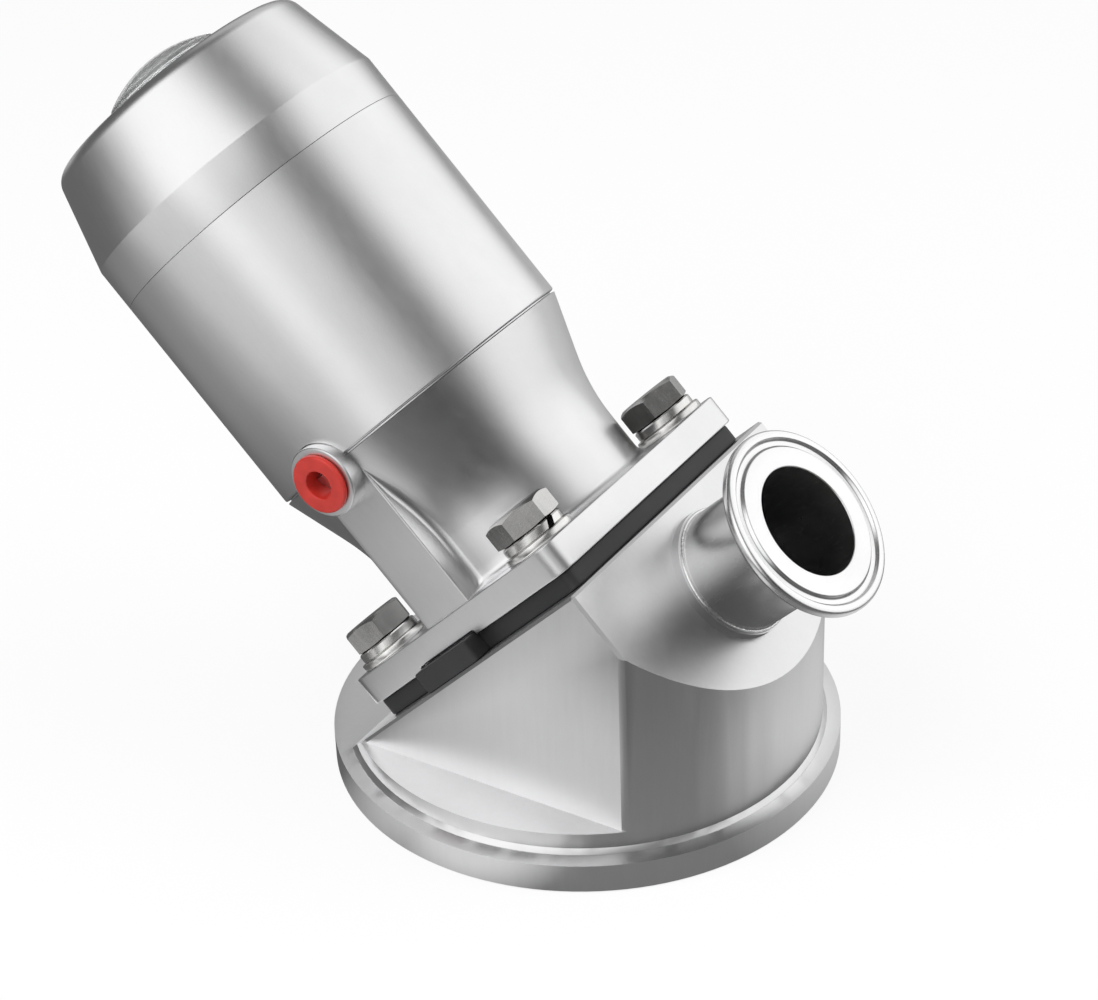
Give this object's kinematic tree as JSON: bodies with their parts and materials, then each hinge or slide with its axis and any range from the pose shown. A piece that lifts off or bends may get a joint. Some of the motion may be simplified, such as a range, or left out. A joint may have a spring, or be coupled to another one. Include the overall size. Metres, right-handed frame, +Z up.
{
  "type": "tank bottom diaphragm valve",
  "caption": "Steel tank bottom diaphragm valve: round weld disc and sloped block body, tilted piston actuator with tapered cap, clamp ferrule outlet.",
  "frame": {"origin": "centre of the weld disc's lower face, the one that looks into the tank", "axes": "+Z up, square to the weld disc; +X towards the outlet ferrule; the actuator leans back 45 degrees towards -X and its air port looks along -Y"},
  "size_m": [0.2317, 0.137, 0.1913],
  "materials": {
    "body_steel": "machined satin",
    "ferrule_steel": "bright turned",
    "bonnet_steel": "satin",
    "cylinder_steel": "satin",
    "cap_steel": "satin",
    "fastener_steel": "semi-bright",
    "stem_steel": "machined",
    "spring_steel": "satin",
    "piston_aluminium": "machined",
    "bush_bronze": "machined",
    "diaphragm_rubber": "matt black",
    "seal_rubber": "matt black",
    "plug_plastic": "red, semi-gloss",
    "knob_plastic": "black",
    "dome_clear": "clear, smooth"
  },
  "bodies": {
    "housing": {"valve_body": "body_steel", "outlet_tube": "ferrule_steel", "outlet_ferrule": "ferrule_steel", "diaphragm": "diaphragm_rubber", "bonnet": "bonnet_steel", "flange_bolts": "fastener_steel", "flat_washers": "fastener_steel", "spring_washers": "fastener_steel", "spindle_bush": "bush_bronze", "spindle_seal": "seal_rubber", "actuator_cylinder": "cylinder_steel", "top_cap": "cap_steel", "indicator_dome": "dome_clear", "spring_outer": "spring_steel", "spring_inner": "spring_steel", "port_plug": "plug_plastic"},
    "stem": {"diaphragm_stud": "stem_steel", "compressor": "stem_steel", "spindle": "stem_steel", "piston": "piston_aluminium", "piston_seal": "seal_rubber", "piston_nut": "stem_steel", "indicator_rod": "stem_steel", "indicator_knob": "knob_plastic"}
  },
  "joints": [
    {"name": "stem_lift", "type": "slide", "parent": "housing", "child": "stem", "axis": [-0.7071, 0, 0.7071], "range_m": [0, 0.01], "stiffness_N_per_m": 6000, "springref_m": -0.001, "deforming": ["spring_outer", "spring_inner", "diaphragm"]}
  ]
}
